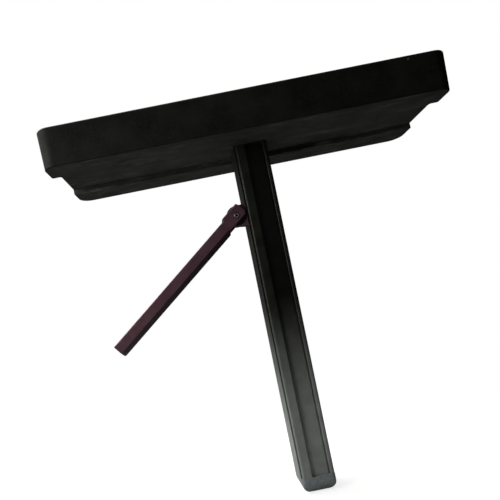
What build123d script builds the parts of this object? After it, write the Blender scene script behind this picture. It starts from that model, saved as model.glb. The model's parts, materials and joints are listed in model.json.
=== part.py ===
from build123d import *
import os
from math import cos, radians, sin, sqrt

# A visitor counter turnstile shaped like a T: a long moulded head on a slim extruded post, and a
# barrier arm that folds on a hinge at the side of the post.
# Frame: millimetres, +Z up, +X along the head, the front faces -Y.
# Origin: the middle of the foot's underside, on the post's axis.

os.makedirs("parts", exist_ok=True)

# ---- Head ----
HEAD_LENGTH = 980.0
HEAD_DEPTH = 284.0
HEAD_HEIGHT = 94.5
HEAD_DRAFT = 2.0  # degrees, each wall leans out towards the top
HEAD_SHIFT = -12.9  # middle of the head from the post's axis, along X
BEAM_DEPTH = 81.5  # the full-length front part
END_INSET = 22.5  # how far the rest stands back from each end
FRONT_CORNER_R = 29.0
REAR_CORNER_R = 36.0
STEP_CORNER_R = 5.0
COVER_WALL = 4.0
COVER_TOP_R = 5.0
COVER_RIM_R = 2.0
TRAY_PLATE = 5.0
TRAY_WALL = 3.0
TRAY_RISE = 24.0  # height of the tray's upstand
TRAY_GROOVE_BACK = 20.0  # moulded line behind the front edge
TRAY_GROOVE = 1.6
TRAY_GROOVE_DEPTH = 0.6
RAIL_DROP = 14.2
RAIL_WALL = 3.0
RAIL_EDGE_R = 3.0

# ---- Post and foot ----
POST_WIDTH = 86.0
POST_DEPTH = 95.3
POST_SETBACK = 104.1  # head's front to post's front
POST_CORNER_R = 8.0
BEAD_R = 5.0  # outer edge of each rib
POST_LIP = 1.5  # thin lip outside the left groove
LIP_SETBACK = 7.0  # lip's edge behind the post's front
LEFT_GROOVE = 2.5  # between the lip and the left rib
LEFT_GROOVE_DEPTH = 2.5  # below the lip's edge
POST_WALL = 3.5
RIB_EDGE_R = 1.5  # rib's edge beside the channel
LEFT_RIB = 28.2  # post's side to the channel
STRIP_WIDTH = 42.3
STRIP_THICK = 3.5
STRIP_STEP = 6.0  # strip's face below the left rib's face
STRIP_SHORT = 4.0  # strip ends below the head
STRIP_BEVEL = 2.0  # on its top end
RIGHT_GROOVE = 4.5  # between the strip and the right rib
RIGHT_GROOVE_DEPTH = 3.0
RIGHT_RIB_R = 2.5  # right rib's edge beside that groove
SIDE_GROOVE_BACK = 62.0  # behind the post's front, on both sides
SIDE_GROOVE = 1.6  # side of the square it is cut with, corner first
UNDERSIDE = 895.0  # floor to the head's underside
POST_TOP_IN = 32.0  # post's end above the head's underside
FOOT_HEIGHT = 42.0
FOOT_ROUND = 29.0
FOOT_SPIGOT = 45.0
STUD_R = 5.1  # tapping size of the M12 floor stud's thread
STUD_DEPTH = 50.0

# ---- Hinge ----
ARM_DROP = 37.8  # degrees below level, as stored
PIN_HEIGHT = 721.0
PIN_STANDOFF = 26.0  # pin's axis from the post's side
PIN_R = 6.0
PIN_HEAD_LIP = 0.5  # pin's head past its shoulder
PIN_HEAD = 4.4
PIN_HEAD_EDGE_R = 0.8
PIN_SOCKET = 6.0  # across flats
PIN_SOCKET_DEPTH = 3.4
PIN_TAIL = 12.0  # thread behind the rear cheek
KNUCKLE_R = 24.8
KNUCKLE_FOOT = 28.5  # half height of the bracket against the post
BUSH_WALL = 2.0
WASHER_R = 25.5  # black friction discs, a little wider than the knuckle
WASHER_T = 0.9
STOP_RADIUS = 17.0
STOP_PIN_R = 2.5
STOP_REACH = 3.6  # stop pin beyond each side of the knuckle
STOP_BEVEL = 0.4
SWING_UP = 38.0
SWING_DOWN = 52.0
LEAD_R = 1.75

# ---- Arm ----
ARM_REACH = 454.0  # pin's axis to the free end
ARM_DEPTH = 42.0
BAR_TOP = 15.8  # above the pin's axis, across the arm
BAR_BOTTOM = -19.7
BAR_BEVEL = 10.5
BAR_WALL = 2.5
BAR_TOP_R = 2.0
EAR_TOP = 21.8
EAR_BOTTOM = -15.2
EAR_END = 24.6  # behind the pin's axis
EAR_BEVEL = 2.5
GAP_ROOM = 1.5  # from the knuckle's widest part to the end of the fork's gap
ROOT_BLOCK = 1.0  # from there to the bar's mouth, level with the ear's top
ROOT_SLANT = 12.0  # how much further out the mouth is, level with the ear's bottom
CHEEK_T = 8.0
TANG_LENGTH = 64.0
CAP_THICK = 6.0
CAP_SPIGOT = 16.0
CAP_WALL = 3.0
CAP_EDGE_R = 1.8

# ---- Electronics in the head ----
BOARD = (150.0, 80.0, 1.6)
BOARD_X = -205.0
BOARD_HOLE_IN = 5.0
STANDOFF = 12.0
BATTERY = (84.0, 42.0, 22.0)
BATTERY_X = 185.0
STRAP_WIDTH = 18.0
STRAP_THICK = 1.2

# ---- Clearances ----
SLIP = 0.3  # pieces that drop into one another
SNUG = 0.1  # spigots, tangs and inserts
RUNNING = 0.05  # shaft in its bush, on the radius
SIDE_PLAY = 0.1  # washer to knuckle
SEAT_ROOM = 1.8  # round the pin's head, for a socket spanner
LEAD_ROOM = 1.0  # round the lead where it passes through steel or aluminium
OVER = 1.0  # cuts run this far past the faces they open
SCREW_ROOM = 1.0  # a blind hole beyond its screw's end

# ---- Places worked out from the above ----
POST_FRONT = -POST_DEPTH / 2
POST_BACK = POST_DEPTH / 2
POST_SIDE = POST_WIDTH / 2
HEAD_FRONT = POST_FRONT - POST_SETBACK
HEAD_BACK = HEAD_FRONT + HEAD_DEPTH
HEAD_MID_Y = (HEAD_FRONT + HEAD_BACK) / 2
RAIL_FRONT = POST_BACK + SLIP
RAIL_MID_Y = (RAIL_FRONT + HEAD_BACK) / 2
SHORT_HALF = HEAD_LENGTH / 2 - END_INSET
RIB_LEFT = -POST_SIDE + POST_LIP + LEFT_GROOVE
STRIP_LEFT = -POST_SIDE + LEFT_RIB
STRIP_RIGHT = STRIP_LEFT + STRIP_WIDTH
STRIP_FACE = POST_FRONT + STRIP_STEP
CHANNEL_FLOOR = STRIP_FACE + STRIP_THICK
CAVITY_FRONT = CHANNEL_FLOOR + POST_WALL
TRAY_TOP = UNDERSIDE + TRAY_PLATE
PIN_X = -POST_SIDE - PIN_STANDOFF
ARM_MID_Y = POST_FRONT + ARM_DEPTH / 2
KNUCKLE_T = ARM_DEPTH - 2 * (CHEEK_T + WASHER_T + SIDE_PLAY)  # fills the gap between the cheeks
KNUCKLE_BACK = ARM_MID_Y + KNUCKLE_T / 2
BUSH_R = PIN_R + RUNNING + BUSH_WALL
PIN_HEAD_R = PIN_R + PIN_HEAD_LIP
THREAD_R = PIN_R - 1.0  # pin's thread, behind its shoulder
BOARD_Z = TRAY_TOP + STANDOFF

arm_plane = Plane(
    origin=(PIN_X, ARM_MID_Y, PIN_HEIGHT),
    x_dir=(-cos(radians(ARM_DROP)), 0, -sin(radians(ARM_DROP))),
    z_dir=(-sin(radians(ARM_DROP)), 0, cos(radians(ARM_DROP))),
)
to_arm = arm_plane.location  # arm's own frame: X outward, Y to the front, Z across its top


def box(x, y, z):
    """A box from three (low, high) pairs."""
    size = (x[1] - x[0], y[1] - y[0], z[1] - z[0])
    middle = ((x[0] + x[1]) / 2, (y[0] + y[1]) / 2, (z[0] + z[1]) / 2)
    return Pos(*middle) * Box(*size)


def rod(axis, radius, low, high, across, up):
    """A cylinder along X, Y or Z from low to high, at its two other coordinates in X, Y, Z order."""
    middle = (low + high) / 2
    if axis == "x":
        return Pos(middle, across, up) * Rot(0, 90, 0) * Cylinder(radius, high - low)
    if axis == "y":
        return Pos(across, middle, up) * Rot(90, 0, 0) * Cylinder(radius, high - low)
    return Pos(across, up, middle) * Cylinder(radius, high - low)


def hexagon(flats, height):
    """A hexagonal bar on Z, standing on the origin."""
    return extrude(RegularPolygon(flats / 2, 6, major_radius=False), height)


def screw(thread_r, length, head_r, head):
    """A socket pan head screw: its shank runs down -Z from the origin, its head stands on top."""
    body = Pos(0, 0, -length / 2) * Cylinder(thread_r, length)
    body += Pos(0, 0, head / 2) * Cylinder(head_r, head)
    body = fillet(body.edges().group_by(Axis.Z)[-1], head * 0.35)
    return body - Pos(0, 0, head * 0.4) * hexagon(head_r * 0.9, head)


def group(solids):
    """Separate solids kept as one node."""
    return Compound(children=[s.solid() if hasattr(s, "solid") else s for s in solids])


# ---- Head ----
def plan_outline(inset):
    """The head's plan, each side brought in by inset."""
    long_half = HEAD_LENGTH / 2 - inset
    short_half = SHORT_HALF - inset
    front = HEAD_FRONT + inset
    step = HEAD_FRONT + BEAM_DEPTH - inset
    back = HEAD_BACK - inset
    right = [(long_half, front), (long_half, step), (short_half, step), (short_half, back)]
    left = [(-x, y) for x, y in reversed(right)]
    face = make_face(Polyline(*right, *left, close=True))
    by_depth = face.vertices().group_by(Axis.Y)
    face = fillet(by_depth[0], FRONT_CORNER_R - inset)
    face = fillet(face.vertices().group_by(Axis.Y)[-1], REAR_CORNER_R - inset)
    steps = [v for v in face.vertices() if abs(v.Y - step) < 0.01]
    return Pos(HEAD_SHIFT, 0, UNDERSIDE) * fillet(steps, STEP_CORNER_R)


COVER_SCREWS_X = [HEAD_SHIFT + SHORT_HALF * share for share in (-0.8, -0.4, 0.0, 0.4, 0.8)]
COVER_SCREW_Z = UNDERSIDE + 16.0
COVER_SCREW_R = 2.0
COVER_SCREW_LENGTH = 12.0
COVER_HEAD_R = 4.0
COVER_HEAD = 2.4
COVER_SEAT = HEAD_BACK - 1.0  # flat seat cut into the leaning wall
COVER_DRILL = (HEAD_BACK - 30.0, HEAD_BACK + 10.0)  # through the rear wall only
BOSS_HALF = 6.0
BOSS_DEPTH = 9.0


def head_cover():
    outer = extrude(plan_outline(0), HEAD_HEIGHT, taper=-HEAD_DRAFT)
    outer = fillet(outer.faces().sort_by(Axis.Z)[-1].edges(), COVER_TOP_R)
    outer = fillet(outer.faces().sort_by(Axis.Z)[0].edges(), COVER_RIM_R)
    inner = extrude(plan_outline(COVER_WALL), HEAD_HEIGHT - COVER_WALL, taper=-HEAD_DRAFT)
    cover = outer - inner
    for x in COVER_SCREWS_X:
        cover -= rod("y", COVER_SCREW_R + SLIP, *COVER_DRILL, x, COVER_SCREW_Z)
        cover -= rod("y", COVER_HEAD_R + SLIP, COVER_SEAT, COVER_DRILL[1], x, COVER_SCREW_Z)
    return cover


def cover_screws():
    one = Rot(-90, 0, 0) * screw(COVER_SCREW_R, COVER_SCREW_LENGTH, COVER_HEAD_R, COVER_HEAD)
    return group([Pos(x, COVER_SEAT, COVER_SCREW_Z) * one for x in COVER_SCREWS_X])


RAIL_SCREWS_X = [HEAD_SHIFT + SHORT_HALF * share for share in (-0.85, -0.45, 0.1, 0.5, 0.85)]
RAIL_SCREW_R = 2.5
RAIL_PILOT = RAIL_DROP - RAIL_WALL
RAIL_BOSS_R = 7.0
PAN_HEAD = (4.7, 3.0)  # radius and height of every M5 head
FLANGE_LIP = 27.35  # flange past the post's front and back
FLANGE_SIZE = POST_DEPTH + 2 * FLANGE_LIP
FLANGE_CORNER_R = 8.0
OPENING_R = 1.5
FLANGE_PLATE = 6.0
FLANGE_SCREW_IN = 14.0
PAD_RISE = 7.0  # tray's pad under the flange, above its plate
FLANGE_Z = TRAY_TOP + PAD_RISE
FLANGE_SCREW_R = 3.0
CAP_HEAD = (5.0, 6.0)  # radius and height of every M6 head
COLLAR_WALL = 5.0
FLANGE_SPOTS = [
    (x, y)
    for x in (-FLANGE_SIZE / 2 + FLANGE_SCREW_IN, FLANGE_SIZE / 2 - FLANGE_SCREW_IN)
    for y in (-FLANGE_SIZE / 2 + FLANGE_SCREW_IN, FLANGE_SIZE / 2 - FLANGE_SCREW_IN)
]
BOARD_SPOTS = [
    (BOARD_X + i * (BOARD[0] / 2 - BOARD_HOLE_IN), HEAD_MID_Y + j * (BOARD[1] / 2 - BOARD_HOLE_IN))
    for i in (-1, 1)
    for j in (-1, 1)
]
STANDOFF_STUD_R = 1.5
STANDOFF_FLATS = 5.5
STANDOFF_TAP = 8.0
BOARD_SCREW_HEAD = (2.75, 2.0)
STRAP_SCREW_HEAD = (3.4, 2.2)
STRAP_FOOT = 16.0
STRAP_SPOTS = [
    (BATTERY_X, HEAD_MID_Y + side * (BATTERY[1] / 2 + SLIP + STRAP_THICK + STRAP_FOOT / 2))
    for side in (-1, 1)
]
STRAP_SCREW_R = 1.75
BLIND = TRAY_PLATE - 1.0  # depth of the tray's blind holes


def post_opening():
    """The hole that the post passes through, with its slip clearance."""
    hole = RectangleRounded(POST_WIDTH + 2 * SLIP, POST_DEPTH + 2 * SLIP, OPENING_R)
    return Pos(0, 0, UNDERSIDE - OVER) * extrude(hole, POST_TOP_IN + 2 * OVER)


def head_tray():
    inset = COVER_WALL + SLIP
    tray = extrude(plan_outline(inset), TRAY_RISE)
    tray -= Pos(0, 0, TRAY_PLATE) * extrude(plan_outline(inset + TRAY_WALL), TRAY_RISE)
    pad = (-FLANGE_SIZE / 2, FLANGE_SIZE / 2)
    tray += box(pad, pad, (TRAY_TOP, FLANGE_Z))
    for x in COVER_SCREWS_X:
        low = HEAD_BACK - inset - BOSS_DEPTH
        boss_x = (x - BOSS_HALF, x + BOSS_HALF)
        tray += box(boss_x, (low, HEAD_BACK - inset - OVER), (TRAY_TOP, UNDERSIDE + TRAY_RISE))
        tray -= rod("y", COVER_SCREW_R, low - OVER, HEAD_BACK, x, COVER_SCREW_Z)
    for x in RAIL_SCREWS_X:
        tray -= rod("z", RAIL_SCREW_R + SLIP, UNDERSIDE - OVER, TRAY_TOP + OVER, x, RAIL_MID_Y)
    for x, y in FLANGE_SPOTS:
        tray -= rod("z", FLANGE_SCREW_R, TRAY_TOP - BLIND, FLANGE_Z + OVER, x, y)
    for x, y in BOARD_SPOTS:
        tray -= rod("z", STANDOFF_STUD_R, TRAY_TOP - BLIND, TRAY_TOP + OVER, x, y)
    for x, y in STRAP_SPOTS:
        tray -= rod("z", STRAP_SCREW_R, TRAY_TOP - BLIND, TRAY_TOP + OVER, x, y)
    tray -= post_opening()
    groove_y = HEAD_FRONT + TRAY_GROOVE_BACK
    ends = (HEAD_SHIFT - HEAD_LENGTH, HEAD_SHIFT + HEAD_LENGTH)
    groove_z = (UNDERSIDE - OVER, UNDERSIDE + TRAY_GROOVE_DEPTH)
    return tray - box(ends, (groove_y, groove_y + TRAY_GROOVE), groove_z)


def rail_plan(inset):
    half = SHORT_HALF - inset
    corners = [(-half, RAIL_FRONT + inset), (half, RAIL_FRONT + inset)]
    corners += [(half, HEAD_BACK - inset), (-half, HEAD_BACK - inset)]
    face = make_face(Polyline(*corners, close=True))
    face = fillet(face.vertices().group_by(Axis.Y)[-1], REAR_CORNER_R - inset)
    return Pos(HEAD_SHIFT, 0, UNDERSIDE - RAIL_DROP) * face


def rear_rail():
    rail = extrude(rail_plan(0), RAIL_DROP)
    rail = fillet(rail.faces().sort_by(Axis.Z)[0].edges(), RAIL_EDGE_R)
    rail -= Pos(0, 0, RAIL_WALL) * extrude(rail_plan(RAIL_WALL), RAIL_DROP)
    for x in RAIL_SCREWS_X:
        rail += rod("z", RAIL_BOSS_R, UNDERSIDE - RAIL_DROP + RAIL_WALL / 2, UNDERSIDE, x, RAIL_MID_Y)
        rail -= rod("z", RAIL_SCREW_R, UNDERSIDE - RAIL_PILOT, UNDERSIDE + OVER, x, RAIL_MID_Y)
    return rail


def rail_screws():
    one = screw(RAIL_SCREW_R, TRAY_PLATE + RAIL_PILOT - SCREW_ROOM, *PAN_HEAD)
    return group([Pos(x, RAIL_MID_Y, TRAY_TOP) * one for x in RAIL_SCREWS_X])


# ---- Post, its strip and its foot ----
def post_section():
    """The post's outline: a lip, a groove and a proud rib at the left, then the strip's channel,
    a second groove and a lower rib at the right."""
    side = POST_SIDE
    lip_edge = POST_FRONT + LIP_SETBACK
    left_floor = lip_edge + LEFT_GROOVE_DEPTH
    right_floor = STRIP_FACE + RIGHT_GROOVE_DEPTH
    right_rib = STRIP_RIGHT + RIGHT_GROOVE
    corners = [
        (-side, POST_BACK),
        (-side, lip_edge),
        (-side + POST_LIP, lip_edge),
        (-side + POST_LIP, left_floor),
        (RIB_LEFT, left_floor),
        (RIB_LEFT, POST_FRONT),
        (STRIP_LEFT, POST_FRONT),
        (STRIP_LEFT, CHANNEL_FLOOR),
        (STRIP_RIGHT, CHANNEL_FLOOR),
        (STRIP_RIGHT, right_floor),
        (right_rib, right_floor),
        (right_rib, STRIP_FACE),
        (side, STRIP_FACE),
        (side, POST_BACK),
    ]
    face = make_face(Polyline(*corners, close=True))
    radii = {
        (-side, POST_BACK): POST_CORNER_R,
        (side, POST_BACK): POST_CORNER_R,
        (RIB_LEFT, POST_FRONT): BEAD_R,
        (STRIP_LEFT, POST_FRONT): RIB_EDGE_R,
        (right_rib, STRIP_FACE): RIGHT_RIB_R,
        (side, STRIP_FACE): BEAD_R,
    }
    for (x, y), radius in radii.items():
        corner = [v for v in face.vertices() if abs(v.X - x) + abs(v.Y - y) < 0.01]
        face = fillet(corner, radius)
    for x in (-side, side):
        groove = Rot(0, 0, 45) * Rectangle(SIDE_GROOVE, SIDE_GROOVE)
        face -= Pos(x, POST_FRONT + SIDE_GROOVE_BACK) * groove
    return face


def post_cavity():
    """The post's hollow, which steps forward behind the flat of the left rib."""
    half = POST_SIDE - POST_WALL
    main = Pos(0, (CAVITY_FRONT + POST_BACK - POST_WALL) / 2)
    main *= Rectangle(2 * half, POST_BACK - POST_WALL - CAVITY_FRONT)
    left = RIB_LEFT + POST_WALL
    right = STRIP_LEFT - POST_WALL
    front, back = POST_FRONT + POST_WALL, CAVITY_FRONT + OVER
    pocket = Pos((left + right) / 2, (front + back) / 2) * Rectangle(right - left, back - front)
    return main + pocket


BRACKET_SPOTS = (-17.5, 17.5)  # bracket screws, from the pin's height
BRACKET_SCREW_R = 3.0
BRACKET_BITE = 13.0  # thread in the knuckle
PLATE_THICK = 5.0
PLATE_HALF = 30.0
PLATE_IN = 2.0  # backing plate's edge in front of the knuckle's back
LEAD_IN = 2.5  # lead's middle in front of the knuckle's back
WINDOW_HALF = 45.0  # service window, half height
WINDOW_IN = 5.0  # narrower than the strip, each side
WINDOW_Z = PIN_HEIGHT
LEAD_Y = KNUCKLE_BACK - LEAD_IN
FOOT_SCREW_Z = FOOT_HEIGHT + FOOT_SPIGOT / 2
FOOT_SCREWS_X = (-20.0, 20.0)
FOOT_SCREW_R = 2.5
FOOT_BITE = 12.0  # thread in the plug
COLLAR_SCREW_Z = UNDERSIDE + POST_TOP_IN - 8.0
COLLAR_SCREWS_Y = (-18.0, 18.0)
COLLAR_SCREW_R = 2.5


def post():
    height = UNDERSIDE + POST_TOP_IN - FOOT_HEIGHT
    tube = Pos(0, 0, FOOT_HEIGHT) * extrude(post_section() - post_cavity(), height)
    wall = (-POST_SIDE - OVER, -POST_SIDE + POST_WALL + OVER)
    for offset in BRACKET_SPOTS:
        tube -= rod("x", BRACKET_SCREW_R + SLIP, *wall, ARM_MID_Y, PIN_HEIGHT + offset)
    tube -= rod("x", LEAD_R + LEAD_ROOM, *wall, LEAD_Y, PIN_HEIGHT)
    tube -= box(
        (STRIP_LEFT + WINDOW_IN, STRIP_RIGHT - WINDOW_IN),
        (CHANNEL_FLOOR - OVER, CAVITY_FRONT + OVER),
        (WINDOW_Z - WINDOW_HALF, WINDOW_Z + WINDOW_HALF),
    )
    for x in FOOT_SCREWS_X:
        drill = (POST_BACK - POST_WALL - OVER, POST_BACK + OVER)
        tube -= rod("y", FOOT_SCREW_R + SLIP, *drill, x, FOOT_SCREW_Z)
    for y in COLLAR_SCREWS_Y:
        tube -= rod("x", COLLAR_SCREW_R, -POST_WIDTH, POST_WIDTH, y, COLLAR_SCREW_Z)
    return tube


def channel_strip():
    strip = box(
        (STRIP_LEFT + SNUG, STRIP_RIGHT - SNUG),
        (STRIP_FACE, CHANNEL_FLOOR),
        (FOOT_HEIGHT, UNDERSIDE - STRIP_SHORT),
    )
    top_front = strip.faces().sort_by(Axis.Z)[-1].edges().sort_by(Axis.Y)[0]
    return chamfer(top_front, STRIP_BEVEL)


def rounded_foot_profile(width):
    """A block's outline with its two lower corners rounded, standing on the floor line."""
    outline = Rectangle(width, FOOT_HEIGHT, align=(Align.CENTER, Align.MIN))
    return fillet(outline.vertices().group_by(Axis.Y)[0], FOOT_ROUND)


def foot_plug():
    """The rounded foot: the common part of its front, side and plan outlines, and a spigot."""
    front = extrude(Plane.XZ * rounded_foot_profile(POST_WIDTH), POST_DEPTH, both=True)
    side = extrude(Plane.YZ * rounded_foot_profile(POST_DEPTH), POST_WIDTH, both=True)
    plan = extrude(RectangleRounded(POST_WIDTH, POST_DEPTH, POST_CORNER_R), FOOT_HEIGHT)
    plug = front & side & plan
    half = POST_SIDE - POST_WALL - SNUG
    spigot = box(
        (-half, half),
        (CAVITY_FRONT + SNUG, POST_BACK - POST_WALL - SNUG),
        (FOOT_HEIGHT - OVER, FOOT_HEIGHT + FOOT_SPIGOT),
    )
    plug += spigot
    bite = (POST_BACK - POST_WALL - FOOT_BITE - SCREW_ROOM, POST_BACK)
    for x in FOOT_SCREWS_X:
        plug -= rod("y", FOOT_SCREW_R, *bite, x, FOOT_SCREW_Z)
    return plug - rod("z", STUD_R, -OVER, STUD_DEPTH, 0, 0)


def foot_screws():
    one = Rot(-90, 0, 0) * screw(FOOT_SCREW_R, POST_WALL + FOOT_BITE, *PAN_HEAD)
    return group([Pos(x, POST_BACK, FOOT_SCREW_Z) * one for x in FOOT_SCREWS_X])


# ---- Flange that holds the post in the head ----
def head_flange():
    half = FLANGE_SIZE / 2
    flange = box((-half, half), (-half, half), (FLANGE_Z, FLANGE_Z + FLANGE_PLATE))
    flange = fillet(flange.edges().filter_by(Axis.Z), FLANGE_CORNER_R)
    around = 2 * (SLIP + COLLAR_WALL)
    collar = RectangleRounded(POST_WIDTH + around, POST_DEPTH + around, POST_CORNER_R)
    flange += Pos(0, 0, FLANGE_Z) * extrude(collar, UNDERSIDE + POST_TOP_IN - FLANGE_Z)
    flange -= post_opening()
    for x, y in FLANGE_SPOTS:
        drill = (FLANGE_Z - OVER, FLANGE_Z + FLANGE_PLATE + OVER)
        flange -= rod("z", FLANGE_SCREW_R + SLIP, *drill, x, y)
    for y in COLLAR_SCREWS_Y:
        flange -= rod("x", COLLAR_SCREW_R + SLIP, -FLANGE_SIZE, FLANGE_SIZE, y, COLLAR_SCREW_Z)
    return flange


def flange_screws():
    one = screw(FLANGE_SCREW_R, FLANGE_PLATE + PAD_RISE + BLIND - SCREW_ROOM, *CAP_HEAD)
    return group([Pos(x, y, FLANGE_Z + FLANGE_PLATE) * one for x, y in FLANGE_SPOTS])


def collar_screws():
    face = POST_SIDE + SLIP + COLLAR_WALL
    one = screw(COLLAR_SCREW_R, COLLAR_WALL + SLIP + POST_WALL, *PAN_HEAD)
    screws = [Pos(-face, y, COLLAR_SCREW_Z) * Rot(0, -90, 0) * one for y in COLLAR_SCREWS_Y]
    screws += [Pos(face, y, COLLAR_SCREW_Z) * Rot(0, 90, 0) * one for y in COLLAR_SCREWS_Y]
    return group(screws)


# ---- Counter electronics ----
CHIPS = ((-30, 10, (24, 24, 2.4)), (15, -12, (14, 20, 2.0)), (-5, 28, (40, 8, 3.0)))
CONNECTOR = (14.0, 10.0, 8.0)
CONNECTOR_IN = 1.0  # from the board's edge
CONNECTOR_X = BOARD_X + BOARD[0] / 2 - CONNECTOR[0] / 2 - CONNECTOR_IN
LEAD_ENTRY_Z = BOARD_Z + BOARD[2] + CONNECTOR[2] / 2


def counter_board():
    top = BOARD_Z + BOARD[2]
    board = Pos(BOARD_X, HEAD_MID_Y, BOARD_Z + BOARD[2] / 2) * Box(*BOARD)
    for x, y, size in CHIPS:
        board += Pos(BOARD_X + x, HEAD_MID_Y + y, top + size[2] / 2) * Box(*size)
    board += Pos(CONNECTOR_X, LEAD_Y, top + CONNECTOR[2] / 2) * Box(*CONNECTOR)
    for x, y in BOARD_SPOTS:
        board -= rod("z", STANDOFF_STUD_R + SLIP, BOARD_Z - OVER, top + OVER, x, y)
    return board


def board_standoffs():
    one = hexagon(STANDOFF_FLATS, STANDOFF)
    one += Pos(0, 0, -BLIND / 2) * Cylinder(STANDOFF_STUD_R, BLIND)
    one -= rod("z", STANDOFF_STUD_R, STANDOFF - STANDOFF_TAP, STANDOFF, 0, 0)
    return group([Pos(x, y, TRAY_TOP) * one for x, y in BOARD_SPOTS])


def board_screws():
    one = screw(STANDOFF_STUD_R, BOARD[2] + STANDOFF_TAP - SCREW_ROOM, *BOARD_SCREW_HEAD)
    return group([Pos(x, y, BOARD_Z + BOARD[2]) * one for x, y in BOARD_SPOTS])


def battery_pack():
    pack = Pos(BATTERY_X, HEAD_MID_Y, TRAY_TOP + BATTERY[2] / 2) * Box(*BATTERY)
    return fillet(pack.edges().filter_by(Axis.X), BATTERY[2] * 0.35)


def battery_strap():
    inner_y = BATTERY[1] / 2 + SLIP
    outer_y = inner_y + STRAP_THICK
    top = TRAY_TOP + BATTERY[2] + SLIP
    x = (BATTERY_X - STRAP_WIDTH / 2, BATTERY_X + STRAP_WIDTH / 2)
    strap = box(x, (HEAD_MID_Y - outer_y, HEAD_MID_Y + outer_y), (TRAY_TOP, top + STRAP_THICK))
    strap -= box(x, (HEAD_MID_Y - inner_y, HEAD_MID_Y + inner_y), (TRAY_TOP - OVER, top))
    for side in (-1, 1):
        ends = sorted((HEAD_MID_Y + side * inner_y, HEAD_MID_Y + side * (outer_y + STRAP_FOOT)))
        strap += box(x, ends, (TRAY_TOP, TRAY_TOP + STRAP_THICK))
    for spot in STRAP_SPOTS:
        drill = (TRAY_TOP - OVER, TRAY_TOP + STRAP_THICK + OVER)
        strap -= rod("z", STRAP_SCREW_R + SLIP, *drill, *spot)
    return strap


def strap_screws():
    one = screw(STRAP_SCREW_R, STRAP_THICK + BLIND - SCREW_ROOM, *STRAP_SCREW_HEAD)
    return group([Pos(x, y, TRAY_TOP + STRAP_THICK) * one for x, y in STRAP_SPOTS])


# ---- Hinge bracket on the post ----
SENSOR = (7.6, 4.8, 7.6)
SENSOR_X = PIN_X + STOP_RADIUS
STOP_ANGLE = 135.0  # degrees, place of the stop pin about the pivot, from +X towards +Z
STOP_X = PIN_X + STOP_RADIUS * cos(radians(STOP_ANGLE))
STOP_Z = PIN_HEIGHT + STOP_RADIUS * sin(radians(STOP_ANGLE))


def hinge_bracket():
    y = (ARM_MID_Y - KNUCKLE_T / 2, KNUCKLE_BACK)
    flare = [(PIN_X, KNUCKLE_R), (-POST_SIDE, KNUCKLE_FOOT)]
    flare += [(x, -z) for x, z in reversed(flare)]
    side = Plane.XZ * Pos(0, PIN_HEIGHT) * make_face(Polyline(*flare, close=True))
    bracket = Pos(0, ARM_MID_Y, 0) * extrude(side, KNUCKLE_T / 2, both=True)
    bracket += rod("y", KNUCKLE_R, *y, PIN_X, PIN_HEIGHT)
    past = (PIN_HEIGHT - KNUCKLE_FOOT, PIN_HEIGHT + KNUCKLE_FOOT)
    bracket -= box((-POST_SIDE, -POST_SIDE + KNUCKLE_R), y, past)
    bracket -= rod("y", BUSH_R, y[0] - OVER, y[1] + OVER, PIN_X, PIN_HEIGHT)
    bracket -= rod("y", STOP_PIN_R, y[0] - OVER, y[1] + OVER, STOP_X, STOP_Z)
    for offset in BRACKET_SPOTS:
        bite = (-POST_SIDE - BRACKET_BITE, -POST_SIDE + OVER)
        bracket -= rod("x", BRACKET_SCREW_R, *bite, ARM_MID_Y, PIN_HEIGHT + offset)
    half = SENSOR[0] / 2 + SNUG
    pocket_x = (SENSOR_X - half, SENSOR_X + half)
    pocket_z = (PIN_HEIGHT - half, PIN_HEIGHT + half)
    bracket -= box(pocket_x, (KNUCKLE_BACK - SENSOR[1] - SNUG, KNUCKLE_BACK + OVER), pocket_z)
    return bracket - rod("x", LEAD_R + SLIP, SENSOR_X, -POST_SIDE + OVER, LEAD_Y, PIN_HEIGHT)


def bracket_plate():
    """Backing plate inside the post, under the bracket screws' heads."""
    inner = -POST_SIDE + POST_WALL
    y = (CAVITY_FRONT + SLIP, KNUCKLE_BACK - PLATE_IN)
    plate = box((inner, inner + PLATE_THICK), y, (PIN_HEIGHT - PLATE_HALF, PIN_HEIGHT + PLATE_HALF))
    drill = (inner - OVER, inner + PLATE_THICK + OVER)
    for offset in BRACKET_SPOTS:
        plate -= rod("x", BRACKET_SCREW_R + SLIP, *drill, ARM_MID_Y, PIN_HEIGHT + offset)
    notch_y = (LEAD_Y - LEAD_R - SLIP, KNUCKLE_BACK)
    notch_z = (PIN_HEIGHT - LEAD_R - LEAD_ROOM, PIN_HEIGHT + LEAD_R + LEAD_ROOM)
    return plate - box(drill, notch_y, notch_z)


def bracket_screws():
    length = PLATE_THICK + POST_WALL + BRACKET_BITE - SCREW_ROOM
    one = Rot(0, 90, 0) * screw(BRACKET_SCREW_R, length, *CAP_HEAD)
    x = -POST_SIDE + POST_WALL + PLATE_THICK
    return group([Pos(x, ARM_MID_Y, PIN_HEIGHT + offset) * one for offset in BRACKET_SPOTS])


def hall_sensor():
    y = KNUCKLE_BACK - SENSOR[1] / 2
    return Pos(SENSOR_X, y, PIN_HEIGHT) * Box(*SENSOR)


LEAD_OVER = 14.0  # above the post's end
LEAD_RUN_IN = 22.0  # up the post, from its side
LEAD_ACROSS = 50.0  # level run over the post's end
LEAD_STRAIGHT = 25.0  # straight into the connector
LEAD_FIRST_BEND = 9.0
LEAD_BEND = 18.0


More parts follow.
